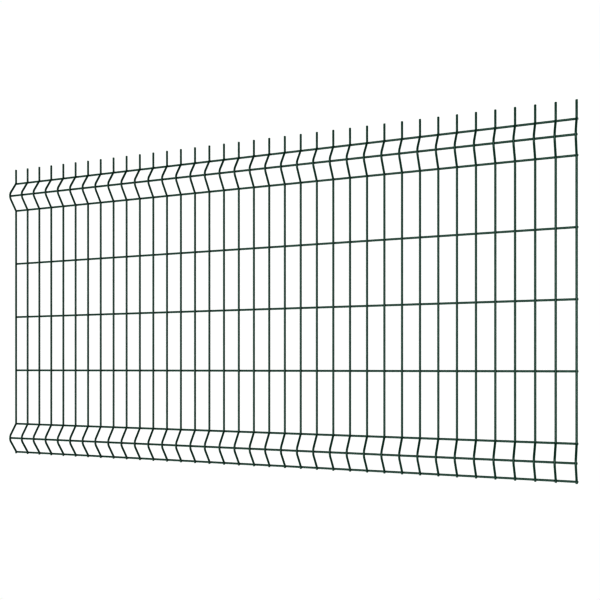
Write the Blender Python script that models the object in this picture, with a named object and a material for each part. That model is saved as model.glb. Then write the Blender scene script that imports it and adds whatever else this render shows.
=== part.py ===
"""Welded mesh fence panel with two V-shaped stiffening folds.

Thirty-seven upright wires stand in front of nine cross wires, and each crossing is
welded. The panel is folded into a V along its head and along its foot: the uprights
bend forward to a crest and back, and each crest has a cross wire lying inside it.
Above the top cross wire the uprights run on as a row of bare points.

Metres, +Z up. +X runs along the panel and -Y is the front, where the folds stand out.
The origin is on the back of the bottom cross wire, behind the first upright.
"""
import math

import bmesh
import bpy
from mathutils import Vector

# Wire
UPRIGHT_DIAMETER = 0.006
CROSS_DIAMETER = 0.006
WELD_GAP = 0.0003
WIRE_SIDES = 8

# Panel across
PANEL_WIDTH = 2.000
CROSS_OVERHANG = 0.004
UPRIGHT_COUNT = 37

# Panel upwards, from the axis of the bottom cross wire
FOOT_LENGTH = 0.0047
LOWER_FOLD_START = 0.0032
FOLD_HEIGHT = 0.1027
HEAD_WIRE_DROP = 0.0004
MESH_LIFT = 0.0006
MESH_HEIGHT = 0.200
MESH_ROWS = 4
UPPER_FOLD_DROP = 0.0021
FOOT_WIRE_RISE = 0.0013
POINT_LENGTH = 0.0513

# Folds
FOLD_ANGLE = math.radians(35.3)
CREST_RADIUS = 0.0245
BEND_RADIUS = 0.007
CREST_STEPS = 5
BEND_STEPS = 1

# Finish: moss green polyester powder over galvanised wire
COAT_COLOUR = (0.0048, 0.0578, 0.0369, 1.0)
COAT_ROUGHNESS = 0.42
COAT_METALLIC = 0.0


def clear_scene():
    for old in list(bpy.data.objects):
        bpy.data.objects.remove(old, do_unlink=True)


def coat_material(name):
    """One powder-coat material, with the panel's green."""
    material = bpy.data.materials.new(name)
    material.use_nodes = True
    shader = material.node_tree.nodes["Principled BSDF"]
    shader.inputs["Base Color"].default_value = COAT_COLOUR
    shader.inputs["Roughness"].default_value = COAT_ROUGHNESS
    shader.inputs["Metallic"].default_value = COAT_METALLIC
    material.diffuse_color = COAT_COLOUR
    return material


def rounded_corner(before, corner, after, radius, steps):
    """Points of the arc that rounds one corner of a path in the YZ plane."""
    arriving = (corner - before).normalized()
    leaving = (after - corner).normalized()
    turn = arriving.angle(leaving)
    start = corner - arriving * radius * math.tan(turn / 2)
    towards_centre = (leaving - arriving).normalized()
    centre = corner + towards_centre * radius / math.cos(turn / 2)
    sense = math.copysign(1.0, arriving.cross(leaving).x)
    spoke = start - centre
    points = []
    for step in range(steps + 1):
        angle = sense * turn * step / steps
        y = spoke.y * math.cos(angle) - spoke.z * math.sin(angle)
        z = spoke.y * math.sin(angle) + spoke.z * math.cos(angle)
        points.append(centre + Vector((0.0, y, z)))
    return points


def cross_heights():
    """Heights of the nine cross wires, named from the bottom up."""
    lower_fold_end = LOWER_FOLD_START + FOLD_HEIGHT
    mesh_base = lower_fold_end + MESH_LIFT
    upper_fold_start = mesh_base + MESH_ROWS * MESH_HEIGHT - UPPER_FOLD_DROP
    heights = {
        "bottom_wire": 0.0,
        "lower_crest_wire": LOWER_FOLD_START + FOLD_HEIGHT / 2,
        "lower_fold_head_wire": lower_fold_end - HEAD_WIRE_DROP,
    }
    for row in range(1, MESH_ROWS):
        heights[f"mesh_wire_{row}"] = mesh_base + row * MESH_HEIGHT
    heights["upper_fold_foot_wire"] = upper_fold_start + FOOT_WIRE_RISE
    heights["upper_crest_wire"] = upper_fold_start + FOLD_HEIGHT / 2
    heights["top_wire"] = upper_fold_start + FOLD_HEIGHT
    return heights


def upright_path(heights):
    """Centre line of an upright, from its foot to its point, with both folds rounded."""
    crest_depth = math.tan(FOLD_ANGLE) * FOLD_HEIGHT / 2
    corners = [(0.0, -FOOT_LENGTH)]
    roundings = []
    for crest in (heights["lower_crest_wire"], heights["upper_crest_wire"]):
        corners += [(0.0, crest - FOLD_HEIGHT / 2), (-crest_depth, crest), (0.0, crest + FOLD_HEIGHT / 2)]
        roundings += [(BEND_RADIUS, BEND_STEPS), (CREST_RADIUS, CREST_STEPS), (BEND_RADIUS, BEND_STEPS)]
    corners.append((0.0, heights["top_wire"] + POINT_LENGTH))
    corners = [Vector((0.0, y, z)) for y, z in corners]
    path = [corners[0]]
    for place, (radius, steps) in enumerate(roundings, start=1):
        path += rounded_corner(corners[place - 1], corners[place], corners[place + 1], radius, steps)
    path.append(corners[-1])
    return path


def section(radius):
    """Corners of the wire's section as (side, back) pairs, with a flat on each of its four sides."""
    reach = radius / math.cos(math.pi / WIRE_SIDES)
    turns = [2 * math.pi * (corner + 0.5) / WIRE_SIDES for corner in range(WIRE_SIDES)]
    return [(reach * math.cos(turn), reach * math.sin(turn)) for turn in turns]


def mitre(path, place):
    """The direction across a path in the YZ plane where two runs meet, long enough for a true mitre."""
    runs = []
    if place > 0:
        runs.append((path[place] - path[place - 1]).normalized())
    if place < len(path) - 1:
        runs.append((path[place + 1] - path[place]).normalized())
    across = [Vector((0.0, run.z, -run.y)) for run in runs]
    mean = (across[0] + across[-1]).normalized()
    return mean / mean.dot(across[0])


def upright_back(path, radius, height):
    """How far back the rear face of an upright lies at a height."""
    edge = [point + mitre(path, place) * radius for place, point in enumerate(path)]
    for low, high in zip(edge, edge[1:]):
        if low.z <= height <= high.z:
            share = (height - low.z) / (high.z - low.z)
            return low.y + share * (high.y - low.y)
    return edge[0].y


def cross_seat(path, height):
    """Place of a cross wire's axis when it is pushed forward against the backs of the uprights."""
    upright_radius = UPRIGHT_DIAMETER / 2
    cross_radius = CROSS_DIAMETER / 2
    half_flat = cross_radius * math.tan(math.pi / WIRE_SIDES)
    outline = {half_flat: cross_radius, cross_radius: half_flat, 0.0: cross_radius}
    needed = []
    for rise, reach in outline.items():
        for level in (height - rise, height + rise):
            needed.append(upright_back(path, upright_radius, level) + reach)
    return max(needed) + WELD_GAP


def wire_object(name, rings, material):
    """One closed wire through a list of rings of points, capped at both ends."""
    mesh = bpy.data.meshes.new(name)
    body = bmesh.new()
    loops = [[body.verts.new(point) for point in ring] for ring in rings]
    for low, high in zip(loops, loops[1:]):
        for corner in range(WIRE_SIDES):
            after = (corner + 1) % WIRE_SIDES
            body.faces.new((low[corner], low[after], high[after], high[corner]))
    body.faces.new(list(reversed(loops[0])))
    body.faces.new(loops[-1])
    bmesh.ops.recalc_face_normals(body, faces=body.faces)
    body.to_mesh(mesh)
    body.free()
    mesh.shade_smooth()
    mesh.set_sharp_from_angle(angle=math.radians(50))
    wire = bpy.data.objects.new(name, mesh)
    mesh.materials.append(material)
    bpy.context.collection.objects.link(wire)
    return wire


def upright_rings(path):
    """Rings of an upright: the section laid across its centre line and mitred at every turn."""
    outline = section(UPRIGHT_DIAMETER / 2)
    rings = []
    for place, point in enumerate(path):
        across = mitre(path, place)
        rings.append([point + Vector((side, 0.0, 0.0)) + across * back for side, back in outline])
    return rings


def cross_rings(start, end):
    """Rings of a straight cross wire that runs along X."""
    outline = section(CROSS_DIAMETER / 2)
    return [[Vector((x, back, rise)) for rise, back in outline] for x in (start, end)]


def build_panel():
    """All wires, with the back of the bottom cross wire at y = 0."""
    heights = cross_heights()
    path = upright_path(heights)
    seats = {name: cross_seat(path, height) for name, height in heights.items()}
    back_plane = seats["bottom_wire"] + CROSS_DIAMETER / 2

    upright_coat = coat_material("upright_coat")
    pitch = (PANEL_WIDTH - 2 * CROSS_OVERHANG) / (UPRIGHT_COUNT - 1)
    rings = upright_rings(path)
    for place in range(UPRIGHT_COUNT):
        upright = wire_object(f"upright_wire_{place + 1:02d}", rings, upright_coat)
        upright.location = (place * pitch, -back_plane, 0.0)

    cross_coat = coat_material("cross_coat")
    rings = cross_rings(-CROSS_OVERHANG, PANEL_WIDTH - CROSS_OVERHANG)
    for name, height in heights.items():
        cross = wire_object(name, rings, cross_coat)
        cross.location = (0.0, seats[name] - back_plane, height)


clear_scene()
build_panel()
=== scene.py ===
# %% [markdown]
# # A welded mesh fence panel, dressed
# The panel is made of drawn steel wire: 37 uprights in front of nine cross wires, welded
# at every crossing, pressed into two V folds, then galvanised and powder coated in moss
# green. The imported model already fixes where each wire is. This lesson gives each wire its
# round section, its smooth bends and the soft rims of its cut ends, adds the welds, and
# finishes them all with the coat.

# %% Load the fixed frame
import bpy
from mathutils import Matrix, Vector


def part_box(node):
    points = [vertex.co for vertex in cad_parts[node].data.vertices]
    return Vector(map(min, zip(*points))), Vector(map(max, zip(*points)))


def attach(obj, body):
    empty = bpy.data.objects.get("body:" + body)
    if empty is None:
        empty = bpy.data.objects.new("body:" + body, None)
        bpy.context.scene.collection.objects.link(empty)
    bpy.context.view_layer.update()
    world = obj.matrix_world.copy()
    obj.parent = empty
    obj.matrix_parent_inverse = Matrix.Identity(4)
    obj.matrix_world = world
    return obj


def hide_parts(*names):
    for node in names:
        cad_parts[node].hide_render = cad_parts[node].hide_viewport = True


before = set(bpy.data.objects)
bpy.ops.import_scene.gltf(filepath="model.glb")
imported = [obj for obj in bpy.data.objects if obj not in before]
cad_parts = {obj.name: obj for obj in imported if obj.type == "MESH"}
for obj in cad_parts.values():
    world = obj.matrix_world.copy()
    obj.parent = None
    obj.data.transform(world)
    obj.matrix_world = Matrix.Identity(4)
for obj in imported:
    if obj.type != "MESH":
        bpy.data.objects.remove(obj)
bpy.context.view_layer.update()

# %% Blender's modules
import math

import bpy
from mathutils import Vector

MM = 0.001
print("Blender", bpy.app.version_string)

# %% [markdown]
# ## Sizes
# Every place and diameter comes from the frame, so the wires land exactly on the model's
# own. Each wire's box gives its diameter and the line of its axis. A box can't give the
# angle of the folds or the roundness of the bends, so those are stated here: the panel is
# folded in a press at 35.3 degrees, over a nose of about 22 mm radius at the crest and over
# sharper jaws at the two bends beside it. Both radii below run along the wire's centre.

# %% Read the uprights
uprights = sorted(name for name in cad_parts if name.startswith("upright_wire"))
upright_low, upright_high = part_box(uprights[0])
upright_radius = (upright_high.x - upright_low.x) / 2
upright_plane = upright_high.y - upright_radius
foot_z, point_z = upright_low.z, upright_high.z
upright_places = [(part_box(name)[0].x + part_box(name)[1].x) / 2 for name in uprights]
print(f"{len(uprights)} uprights, {2 * upright_radius / MM:.2f} mm thick")

# %% Read the cross wires
cross_names = sorted(set(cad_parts) - set(uprights), key=lambda name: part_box(name)[0].z)
cross_axes = {name: (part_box(name)[0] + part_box(name)[1]) / 2 for name in cross_names}
top_low, top_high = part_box("top_wire")
cross_radius = (top_high.z - top_low.z) / 2
cross_start, cross_end = top_low.x, top_high.x
print(f"{len(cross_names)} cross wires, {2 * cross_radius / MM:.2f} mm thick")

# %% Size the folds
FOLD_ANGLE = math.radians(35.3)
CREST_RADIUS = 24.5 * MM
BEND_RADIUS = 7 * MM

crest_heights = [cross_axes["lower_crest_wire"].z, cross_axes["upper_crest_wire"].z]
half_fold = cross_axes["top_wire"].z - crest_heights[1]
fold_depth = math.tan(FOLD_ANGLE) * half_fold
print(f"Fold: {2 * half_fold / MM:.1f} mm high, sharp corner {fold_depth / MM:.1f} mm out")

# %% [markdown]
# ## Helpers for node trees
# The shapes and the finishes are node trees. One function adds any node with its settings
# and links, so that a tree below reads as a list of steps. Three more serve the shapes: they
# start a tree with named inputs, end it with its finish, and run it on an empty object,
# which keeps what comes out as a plain mesh with no modifier left on it.

# %% Add any node
def add(tree, kind, feeds=None, **settings):
    """Adds a node. Each feed is a socket's name or number, with a value or what is linked in."""
    node = tree.nodes.new(kind)
    for name, value in settings.items():
        setattr(node, name, value)
    for name, value in (feeds or {}).items():
        if isinstance(value, bpy.types.Node):
            value = next(output for output in value.outputs if output.enabled)
        if isinstance(value, bpy.types.NodeSocket):
            tree.links.new(value, node.inputs[name])
        else:
            node.inputs[name].default_value = value
    return node


# %% Start and end a shape's tree
def start_shape_tree(name, inputs):
    """Starts a geometry tree with named inputs, and gives it with their sockets."""
    tree = bpy.data.node_groups.new(name, "GeometryNodeTree")
    for label, kind in inputs.items():
        tree.interface.new_socket(label, in_out="INPUT", socket_type=kind)
    tree.interface.new_socket("Geometry", in_out="OUTPUT", socket_type="NodeSocketGeometry")
    return tree, add(tree, "NodeGroupInput").outputs


def end_shape_tree(tree, shape, material):
    """Ends a tree: its copies made real, given their finish, and sent out."""
    real = add(tree, "GeometryNodeRealizeInstances", {"Geometry": shape})
    finished = add(tree, "GeometryNodeSetMaterial", {"Geometry": real, "Material": material})
    add(tree, "NodeGroupOutput", {"Geometry": finished})
    print(f"{tree.name}: {len(tree.nodes)} nodes")


# %% Run a shape's tree
def run_tree(name, tree, inputs, finish=None):
    """Runs a tree on an empty object and keeps the result as a plain mesh."""
    holder = bpy.data.objects.new(name, bpy.data.meshes.new(name))
    bpy.context.collection.objects.link(holder)
    shape = holder.modifiers.new("shape", "NODES")
    shape.node_group = tree
    for item in tree.interface.items_tree:
        if item.in_out == "INPUT":
            shape[item.identifier] = inputs[item.name]
    if finish:
        finish(holder)
    graph = bpy.context.evaluated_depsgraph_get()
    made = bpy.data.meshes.new_from_object(holder.evaluated_get(graph))
    holder.modifiers.clear()
    holder.data = made
    made.name = name
    return holder


# %% [markdown]
# ## The coat
# Polyester powder is sprayed on dry and melts in an oven into a satin skin about 0.1 mm
# thick. It is a plain dielectric, so it keeps an IOR of 1.5 and no metallic share. Up close
# it has orange peel, a shallow ripple a millimetre or two across, its gloss is a little
# uneven, and its green drifts slightly where the skin is thicker. An image could hold all
# this, but a noise needs no unwrapping and has no seam, so three noises make it. The orange
# peel has its real size and shows only from near by. Real patches of gloss would be as fine,
# so they are drawn 9 mm across, coarser than the real ones, to show from further off. On a
# weld the powder melts over rough metal, and the skin stays duller and more rippled.

# %% Colours
def linear(hex_colour):
    """An sRGB hex colour as the linear colour that shaders take."""
    parts = [int(hex_colour[place:place + 2], 16) / 255 for place in (0, 2, 4)]
    return [c / 12.92 if c <= 0.04045 else ((c + 0.055) / 1.055) ** 2.4 for c in parts] + [1.0]


COAT_GREEN = linear("083d2f")
COAT_GREEN_THICK = linear("063729")
print("Moss green, linear:", [round(part, 4) for part in COAT_GREEN])

# %% Powder coat material
COAT_IOR = 1.5
DRIFT = 60 * MM
GLOSS_PATCH = 9 * MM
GLOSS_SPREAD = 0.06
ORANGE_PEEL = 1.6 * MM
NOISE_LOW, NOISE_MIDDLE, NOISE_HIGH = 0.25, 0.5, 0.75


def powder_coat(name, roughness, peel_height):
    """Moss green powder coat, with its drift of colour, patches of gloss and orange peel."""
    material = bpy.data.materials.new(name)
    material.use_nodes = True
    tree = material.node_tree
    shader = tree.nodes["Principled BSDF"]
    shader.inputs["IOR"].default_value = COAT_IOR
    spot = add(tree, "ShaderNodeTexCoord").outputs["Object"]

    # A colour mix takes its share in socket 0 and its two colours in 6 and 7.
    drift = add(tree, "ShaderNodeTexNoise", {"Vector": spot, "Scale": 1 / DRIFT, "Detail": 2.0})
    green = add(tree, "ShaderNodeMix", {
        0: drift.outputs["Fac"], 6: COAT_GREEN, 7: COAT_GREEN_THICK,
    }, data_type="RGBA")
    tree.links.new(green.outputs[2], shader.inputs["Base Color"])

    patches = add(tree, "ShaderNodeTexNoise", {
        "Vector": spot, "Scale": 1 / GLOSS_PATCH, "Detail": 1.0,
    })
    gloss = add(tree, "ShaderNodeMapRange", {
        "Value": patches.outputs["Fac"], "From Min": NOISE_LOW, "From Max": NOISE_HIGH,
        "To Min": roughness - GLOSS_SPREAD, "To Max": roughness + GLOSS_SPREAD,
    })
    tree.links.new(gloss.outputs["Result"], shader.inputs["Roughness"])

    peel = add(tree, "ShaderNodeTexNoise", {
        "Vector": spot, "Scale": 1 / ORANGE_PEEL, "Detail": 1.0,
    })
    bump = add(tree, "ShaderNodeBump", {"Height": peel.outputs["Fac"], "Distance": peel_height})
    tree.links.new(bump.outputs["Normal"], shader.inputs["Normal"])
    return material


# %% One coat for each kind of piece
SATIN, DULLER = 0.38, 0.46
SHALLOW_PEEL, DEEPER_PEEL = 0.06 * MM, 0.12 * MM

upright_finish = powder_coat("moss_green_powder_coat", SATIN, SHALLOW_PEEL)
cross_finish = powder_coat("moss_green_powder_coat_cross", SATIN, SHALLOW_PEEL)
weld_finish = powder_coat("powder_coat_over_weld", DULLER, DEEPER_PEEL)
print("Coats:", [coat.name for coat in (upright_finish, cross_finish, weld_finish)])

# %% [markdown]
# ## The folded upright
# An upright is one wire bent in one plane, so its shape is a rule: eight points joined by
# straight runs, the six between its ends rounded, and a round section carried along. It
# could be drawn by hand as a curve, but a tree takes its sizes from the frame and makes all
# 37 alike. A line is resampled to eight points, each point is set by its number, and Fillet
# Curve rounds the corners. Counted from 0, points 2 and 5 are the crests, with a wider
# rounding than the bends beside them.

# %% Inputs of an upright
tree, size = start_shape_tree("folded_upright", {
    "Place": "NodeSocketFloat", "Plane": "NodeSocketFloat",
    "Foot": "NodeSocketFloat", "Point": "NodeSocketFloat",
    "Lower crest": "NodeSocketFloat", "Upper crest": "NodeSocketFloat",
    "Half fold": "NodeSocketFloat", "Fold depth": "NodeSocketFloat",
    "Crest radius": "NodeSocketFloat", "Bend radius": "NodeSocketFloat",
    "Wire radius": "NodeSocketFloat", "Coat": "NodeSocketMaterial",
})
folded_upright = tree
print("Inputs:", [socket.name for socket in size if socket.name])

# %% Height of each point
heights = [size["Foot"]]
for crest in ("Lower crest", "Upper crest"):
    fold = {0: size[crest], 1: size["Half fold"]}
    fold_foot = add(tree, "ShaderNodeMath", fold, operation="SUBTRACT")
    fold_head = add(tree, "ShaderNodeMath", fold, operation="ADD")
    heights += [fold_foot.outputs["Value"], size[crest], fold_head.outputs["Value"]]
heights.append(size["Point"])

point_number = add(tree, "GeometryNodeInputIndex")
height = add(tree, "GeometryNodeIndexSwitch", data_type="FLOAT")
while len(height.index_switch_items) < len(heights):
    height.index_switch_items.new()
tree.links.new(point_number.outputs["Index"], height.inputs["Index"])
for socket, source in enumerate(heights, start=1):
    tree.links.new(source, height.inputs[socket])
print("Points along an upright:", len(heights))

# %% Place of each point
POINTS_TO_NEXT_CREST = 3.0
FIRST_CREST = 2.0

within_fold = add(tree, "ShaderNodeMath", {
    0: point_number, 1: POINTS_TO_NEXT_CREST,
}, operation="MODULO")
is_crest = add(tree, "FunctionNodeCompare", {
    0: within_fold, 1: FIRST_CREST,
}, data_type="FLOAT", operation="EQUAL")
forward = add(tree, "ShaderNodeMath", {0: is_crest, 1: size["Fold depth"]}, operation="MULTIPLY")
depth = add(tree, "ShaderNodeMath", {0: size["Plane"], 1: forward}, operation="SUBTRACT")
spot = add(tree, "ShaderNodeCombineXYZ", {"X": size["Place"], "Y": depth, "Z": height})

line = add(tree, "GeometryNodeCurvePrimitiveLine")
points = add(tree, "GeometryNodeResampleCurve", {"Curve": line, "Count": len(heights)})
bent = add(tree, "GeometryNodeSetPosition", {"Geometry": points, "Position": spot})
print("The crests stand", round(fold_depth / MM, 1), "mm out before they are rounded")

# %% Rounding of each corner
CREST_POINTS = 14
BEND_POINTS = 6

radius = add(tree, "GeometryNodeSwitch", {
    "Switch": is_crest, "False": size["Bend radius"], "True": size["Crest radius"],
}, input_type="FLOAT")
count = add(tree, "GeometryNodeSwitch", {
    "Switch": is_crest, "False": BEND_POINTS, "True": CREST_POINTS,
}, input_type="INT")
rounded = add(tree, "GeometryNodeFilletCurve", {
    "Curve": bent, "Radius": radius, "Count": count,
}, mode="POLY")

# %% Carry the round section along
WIRE_SIDES = 16


def round_wire(tree, curve, radius):
    """A wire along a curve, with a round section and both of its ends closed."""
    ring = add(tree, "GeometryNodeCurvePrimitiveCircle", {
        "Resolution": WIRE_SIDES, "Radius": radius,
    })
    return add(tree, "GeometryNodeCurveToMesh", {
        "Curve": curve, "Profile Curve": ring.outputs["Curve"], "Fill Caps": True,
    })


end_shape_tree(tree, round_wire(tree, rounded, size["Wire radius"]), size["Coat"])

# %% [markdown]
# ## Sheared ends
# The wires are cut to length by a shear before they are coated. The cut leaves a flat end,
# and the molten powder draws back from its edge, so the rim is a small soft radius. It could
# be modelled as more rings in the tree, but a Bevel on the edges sharper than 60 degrees
# finds just that rim and rounds it.

# %% Round the rim of a cut end
RIM = 0.7 * MM
RIM_SEGMENTS = 3
RIM_ANGLE = math.radians(60)


def soften_ends(holder):
    """Rounds the rims at both ends of a wire."""
    rim = holder.modifiers.new("rim", "BEVEL")
    rim.width = RIM
    rim.segments = RIM_SEGMENTS
    rim.limit_method = "ANGLE"
    rim.angle_limit = RIM_ANGLE


# %% Smooth a piece and tie it to the frame
SHARP_ANGLE = math.radians(50)


def seat(piece, slot, *nodes):
    """Smooths a piece, ties it to the body and hides the solids it stands for. The slot is not used.
    """
    piece.data.shade_smooth()
    piece.data.set_sharp_from_angle(angle=SHARP_ANGLE)
    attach(piece, "root")
    if nodes:
        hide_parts(*nodes)


# %% Make the uprights
for number, (node, place) in enumerate(zip(uprights, upright_places), start=1):
    wire = run_tree(f"coated_upright_{number:02d}", folded_upright, {
        "Place": place, "Plane": upright_plane, "Foot": foot_z, "Point": point_z,
        "Lower crest": crest_heights[0], "Upper crest": crest_heights[1],
        "Half fold": half_fold, "Fold depth": fold_depth,
        "Crest radius": CREST_RADIUS, "Bend radius": BEND_RADIUS,
        "Wire radius": upright_radius, "Coat": upright_finish,
    }, soften_ends)
    seat(wire, "upright_coat", node)
front = min(corner.co.y for corner in wire.data.vertices)
print(f"Upright: {len(wire.data.polygons)} faces, front at y = {front / MM:.2f} mm,",
      f"solid's front at {upright_low.y / MM:.2f} mm")

# %% [markdown]
# ## The cross wires
# A cross wire is a straight length of the same drawn wire, so it needs no corners. A plain
# cylinder would do, but a line with the same section carried along it gives the same sides
# and the same rims as the uprights have.

# %% Tree of a cross wire
tree, size = start_shape_tree("straight_wire", {
    "Start": "NodeSocketVector", "End": "NodeSocketVector",
    "Wire radius": "NodeSocketFloat", "Coat": "NodeSocketMaterial",
})
straight_wire = tree
line = add(tree, "GeometryNodeCurvePrimitiveLine", {"Start": size["Start"], "End": size["End"]})
end_shape_tree(tree, round_wire(tree, line, size["Wire radius"]), size["Coat"])

# %% Make the cross wires
for name in cross_names:
    axis = cross_axes[name]
    wire = run_tree(f"coated_{name}", straight_wire, {
        "Start": Vector((cross_start, axis.y, axis.z)), "End": Vector((cross_end, axis.y, axis.z)),
        "Wire radius": cross_radius, "Coat": cross_finish,
    }, soften_ends)
    seat(wire, "cross_coat", name)
print("Cross wire:", len(wire.data.polygons), "faces")

# %% [markdown]
# ## The welds
# At each crossing the two wires are clamped between electrodes and a current melts them
# together where they touch. What shows is a small collar squeezed out of the joint, under
# the coat. It is wide along the cross wire at its back and wide along the upright at its
# front, like a saddle. 333 of them, no two quite alike, are too many to model by hand. So a
# ball is pulled into that form by a formula, set on 37 points in a row, and turned, sized and
# roughened a little differently at each one.

# %% Inputs of a row of welds
tree, size = start_shape_tree("weld_row", {
    "First contact": "NodeSocketVector", "Pitch": "NodeSocketFloat", "Count": "NodeSocketInt",
    "Tilt": "NodeSocketFloat", "Seed": "NodeSocketInt", "Coat": "NodeSocketMaterial",
})
weld_row = tree
print("Inputs:", [socket.name for socket in size if socket.name])

# %% Pull a ball into a saddle
# The ball's Y and Z change places, which alone would turn its faces inwards. Taking the
# waist away in `height` makes it negative, and turns them outwards again.
BEAD_SEGMENTS = 12
BEAD_RINGS = 4
BEAD_WAIST = 3.1 * MM
BEAD_FLARE = 1.2 * MM
BEAD_REACH = 1.7 * MM

ball = add(tree, "GeometryNodeMeshUVSphere", {
    "Segments": BEAD_SEGMENTS, "Rings": BEAD_RINGS, "Radius": 1.0,
})
on_ball = add(tree, "GeometryNodeInputPosition")
part = add(tree, "ShaderNodeSeparateXYZ", {"Vector": on_ball}).outputs
flare = add(tree, "ShaderNodeMath", {0: part["Z"], 1: BEAD_FLARE}, operation="MULTIPLY")
width = add(tree, "ShaderNodeMath", {0: flare, 1: BEAD_WAIST}, operation="ADD")
height = add(tree, "ShaderNodeMath", {0: flare, 1: BEAD_WAIST}, operation="SUBTRACT")
along_cross = add(tree, "ShaderNodeMath", {0: part["X"], 1: width}, operation="MULTIPLY")
along_upright = add(tree, "ShaderNodeMath", {0: part["Y"], 1: height}, operation="MULTIPLY")
through = add(tree, "ShaderNodeMath", {0: part["Z"], 1: BEAD_REACH}, operation="MULTIPLY")
saddle = add(tree, "ShaderNodeCombineXYZ", {"X": along_cross, "Y": through, "Z": along_upright})
bead = add(tree, "GeometryNodeSetPosition", {"Geometry": ball.outputs["Mesh"], "Position": saddle})
print(f"Saddle: {2 * BEAD_WAIST / MM:.1f} mm wide at its middle, {2 * BEAD_REACH / MM:.1f} mm through")

# %% Set the saddles in a row
SWAY = Vector((0.12, 0.25, 0.12))
SMALLEST = (0.9, 0.95, 0.9)
LARGEST = (1.12, 1.1, 1.12)

step = add(tree, "ShaderNodeCombineXYZ", {"X": size["Pitch"]})
row = add(tree, "GeometryNodeMeshLine", {
    "Count": size["Count"], "Start Location": size["First contact"], "Offset": step,
})
lean = add(tree, "ShaderNodeCombineXYZ", {"X": size["Tilt"]})
sway = add(tree, "FunctionNodeRandomValue", {
    "Min": -SWAY, "Max": SWAY, "Seed": size["Seed"],
}, data_type="FLOAT_VECTOR")
turn = add(tree, "ShaderNodeVectorMath", {0: lean, 1: sway}, operation="ADD")
next_seed = add(tree, "ShaderNodeMath", {0: size["Seed"], 1: 1.0}, operation="ADD")
spread = add(tree, "FunctionNodeRandomValue", {
    "Min": SMALLEST, "Max": LARGEST, "Seed": next_seed,
}, data_type="FLOAT_VECTOR")
placed = add(tree, "GeometryNodeInstanceOnPoints", {
    "Points": row, "Instance": bead, "Rotation": turn, "Scale": spread,
})
real = add(tree, "GeometryNodeRealizeInstances", {"Geometry": placed})

# %% Roughen them
BEAD_ROUGHNESS = 0.3 * MM
BEAD_LUMP = 2.5 * MM

noise = add(tree, "ShaderNodeTexNoise", {"Scale": 1 / BEAD_LUMP, "Detail": 0.0})
lump = add(tree, "ShaderNodeMath", {0: noise.outputs["Fac"], 1: NOISE_MIDDLE}, operation="SUBTRACT")
swell = add(tree, "ShaderNodeMath", {0: lump, 1: BEAD_ROUGHNESS}, operation="MULTIPLY")
outwards = add(tree, "GeometryNodeInputNormal")
push = add(tree, "ShaderNodeVectorMath", {0: outwards, "Scale": swell}, operation="SCALE")
rough = add(tree, "GeometryNodeSetPosition", {"Geometry": real, "Offset": push})
end_shape_tree(tree, rough, size["Coat"])

# %% [markdown]
# Where a row starts is looked up on the first upright: the place on its skin that is nearest
# to the cross wire's axis, moved halfway over the hair-wide gap to that wire. Beside a bend
# the two wires meet at a slant, so the row's beads are tilted by as much.

# %% Make the welds
SEEDS_IN_ROW = 2

pitch = upright_places[1] - upright_places[0]
first_upright = bpy.data.objects["coated_upright_01"]
for number, name in enumerate(cross_names):
    axis = Vector((upright_places[0], cross_axes[name].y, cross_axes[name].z))
    back = axis - first_upright.closest_point_on_mesh(axis)[1]
    back.x = 0.0
    gap = back.length - cross_radius
    contact = axis - back.normalized() * (cross_radius + gap / 2)
    tilt = math.atan2(back.z, back.y)
    beads = run_tree(f"welds_on_{name}", weld_row, {
        "First contact": contact, "Pitch": pitch, "Count": len(uprights),
        "Tilt": tilt, "Seed": SEEDS_IN_ROW * number, "Coat": weld_finish,
    })
    seat(beads, "cross_coat")
    print(f"{name}: gap {gap / MM:.2f} mm, tilt {math.degrees(tilt):.1f} degrees,",
          len(beads.data.polygons), "faces")

# %% [markdown]
# ## The stage
# The photograph's panel stands in plain white. A lit paper sweep would make such a ground,
# but it would throw light back at the wires and flatten them. So the floor is a glowing
# sheet just under the feet of the wires that lights nothing, and the world is white only
# where the camera sees it, with a little even light for the rest. The white is a hair over
# 1, so that the faint grain of a render stays above what a picture can show, and the ground
# comes out clean.

# %% Floor
WHITE = (1.0, 1.0, 1.0, 1.0)
GROUND_GLOW = 1.01
FLOOR_WIDTH = 60.0
FLOOR_MIDDLE = 1.0
FLOOR_DROP = 1 * MM

floor_place = (FLOOR_MIDDLE, 0.0, foot_z - FLOOR_DROP)
bpy.ops.mesh.primitive_plane_add(size=FLOOR_WIDTH, location=floor_place)
floor = bpy.context.object
floor.name = "floor"
floor_paint = bpy.data.materials.new("pale_floor")
floor_paint.use_nodes = True
tree = floor_paint.node_tree
tree.nodes.clear()
glow = add(tree, "ShaderNodeEmission", {"Color": WHITE, "Strength": GROUND_GLOW})
add(tree, "ShaderNodeOutputMaterial", {"Surface": glow})
floor.data.materials.append(floor_paint)
floor.visible_diffuse = False
floor.visible_glossy = False
floor.visible_shadow = False
print(f"Floor at z = {floor_place[2] / MM:.1f} mm")

# %% World
AMBIENT_GLOW = 0.09
world = bpy.data.worlds.new("studio")
bpy.context.scene.world = world
world.use_nodes = True
tree = world.node_tree
tree.nodes.clear()
ambient = add(tree, "ShaderNodeBackground", {"Color": WHITE, "Strength": AMBIENT_GLOW})
backdrop = add(tree, "ShaderNodeBackground", {"Color": WHITE, "Strength": GROUND_GLOW})
seen = add(tree, "ShaderNodeLightPath").outputs["Is Camera Ray"]
mixed = add(tree, "ShaderNodeMixShader", {0: seen, 1: ambient, 2: backdrop})
add(tree, "ShaderNodeOutputWorld", {"Surface": mixed})
print("The world lights the wires at", AMBIENT_GLOW)

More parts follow.
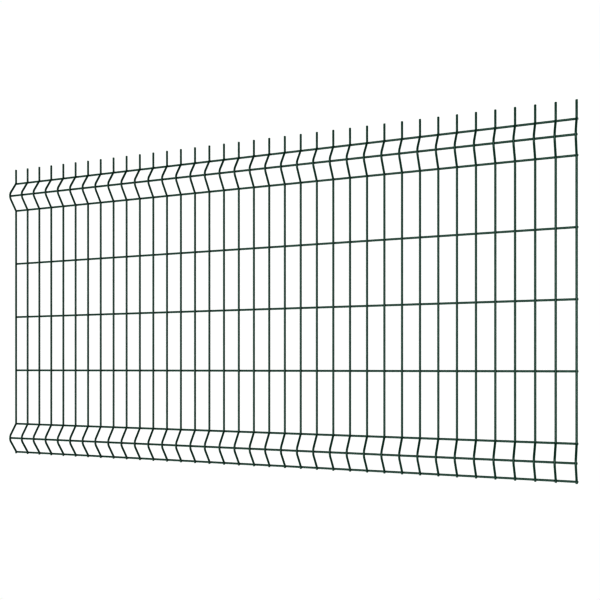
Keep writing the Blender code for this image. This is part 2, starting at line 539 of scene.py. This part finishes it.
# %% [markdown]
# ## Soft light
# In the photograph the straight runs of the wires are the lightest, the lower legs of the
# folds are darker and the upper legs darkest. So the main light comes from straight ahead,
# from a little below the horizon, and hardly any from above. A square lamp near by would
# light one end of a long panel more than the other. A sun lamp with a wide angle is a round
# softbox at any distance, and lights all of the panel alike. A weak one higher up puts a
# gleam on the bare points. Others at both sides and behind, low and high, show the faces
# that the front light misses. The uprights at the right end are a little lighter than the
# rest, so one small softbox does stand close to that end.

# %% Two kinds of softbox
def hang(lamp, towards, place=(0.0, 0.0, 0.0)):
    """Links a lamp whose light comes from the direction given."""
    box = bpy.data.objects.new(lamp.name, lamp)
    box.location = place
    box.rotation_euler = towards.to_track_quat("Z", "Y").to_euler()
    box.visible_camera = False
    bpy.context.collection.objects.link(box)


def softbox(name, azimuth, elevation, spread, strength):
    """A wide sun. Azimuth 0 shines at the panel's front, and the angles are in degrees."""
    lamp = bpy.data.lights.new(name, "SUN")
    lamp.angle = math.radians(spread)
    lamp.energy = strength
    turn, lift = math.radians(azimuth), math.radians(elevation)
    reach = math.cos(lift)
    hang(lamp, Vector((reach * math.sin(turn), -reach * math.cos(turn), math.sin(lift))))


def near_softbox(name, place, aim, width, watts):
    """A round lamp that stands at a place and points at another."""
    lamp = bpy.data.lights.new(name, "AREA")
    lamp.shape = "DISK"
    lamp.size = width
    lamp.energy = watts
    hang(lamp, place - aim, place)


# %% Hang the softboxes
END_LAMP_PLACE = Vector((2.7, -1.5, 0.5))
END_LAMP_AIM = Vector((1.9, 0.0, 0.5))

softbox("key_softbox", azimuth=-10, elevation=-6, spread=70, strength=5.0)
softbox("high_softbox", azimuth=-5, elevation=20, spread=30, strength=0.9)
softbox("left_softbox", azimuth=-80, elevation=-10, spread=60, strength=1.3)
softbox("right_softbox", azimuth=125, elevation=-10, spread=60, strength=1.3)
softbox("back_softbox", azimuth=206, elevation=-45, spread=80, strength=3.3)
softbox("high_back_softbox", azimuth=160, elevation=40, spread=60, strength=1.5)
near_softbox("end_softbox", END_LAMP_PLACE, END_LAMP_AIM, width=1.0, watts=18)
print("Softboxes:", [lamp.name for lamp in bpy.data.lights])

# %% [markdown]
# ## The camera
# The uprights stay upright in the photograph, so the camera is level. Tilting it up would
# take in the panel's head, but the uprights would lean, so its picture is shifted up
# instead. Its place and lens were worked out from the spacing of the crossings.

# %% Camera
CAMERA_FROM_UPRIGHT = Vector((2.1559, -2.3232, 0.3174))
CAMERA_TURN = math.radians(23.214)
LEVEL = math.radians(90)
FOCAL_PIXELS = 795.33
HORIZON_BELOW_CENTRE = 67.43
PICTURE_PIXELS = 600
SENSOR_MM = 36.0

camera_data = bpy.data.cameras.new("photo_view")
camera_data.sensor_width = SENSOR_MM
camera_data.lens = FOCAL_PIXELS / PICTURE_PIXELS * SENSOR_MM
camera_data.shift_y = HORIZON_BELOW_CENTRE / PICTURE_PIXELS
camera = bpy.data.objects.new("photo_view", camera_data)
camera.location = CAMERA_FROM_UPRIGHT + Vector((0.0, upright_plane, 0.0))
camera.rotation_euler = (LEVEL, 0.0, CAMERA_TURN)
bpy.context.collection.objects.link(camera)
bpy.context.scene.camera = camera
print(f"Lens {camera_data.lens:.1f} mm, picture shifted up by {camera_data.shift_y:.3f}")

# %% [markdown]
# ## Tone
# A wire is only about two pixels thick in this picture. Where a pixel is half wire and half
# white, the renderer adds light, which comes out much paler than half, and the wires look
# thinner than they are. A darker coat would hide that, but it would be the wrong green. A
# display gamma under 1 gives such edges their weight back and leaves the coat alone. It
# darkens everything between black and white, so the lamps above are bright.

# %% Display
EDGE_GAMMA = 0.54
bpy.context.scene.view_settings.view_transform = "Standard"
bpy.context.scene.view_settings.gamma = EDGE_GAMMA
print("Display gamma", EDGE_GAMMA)
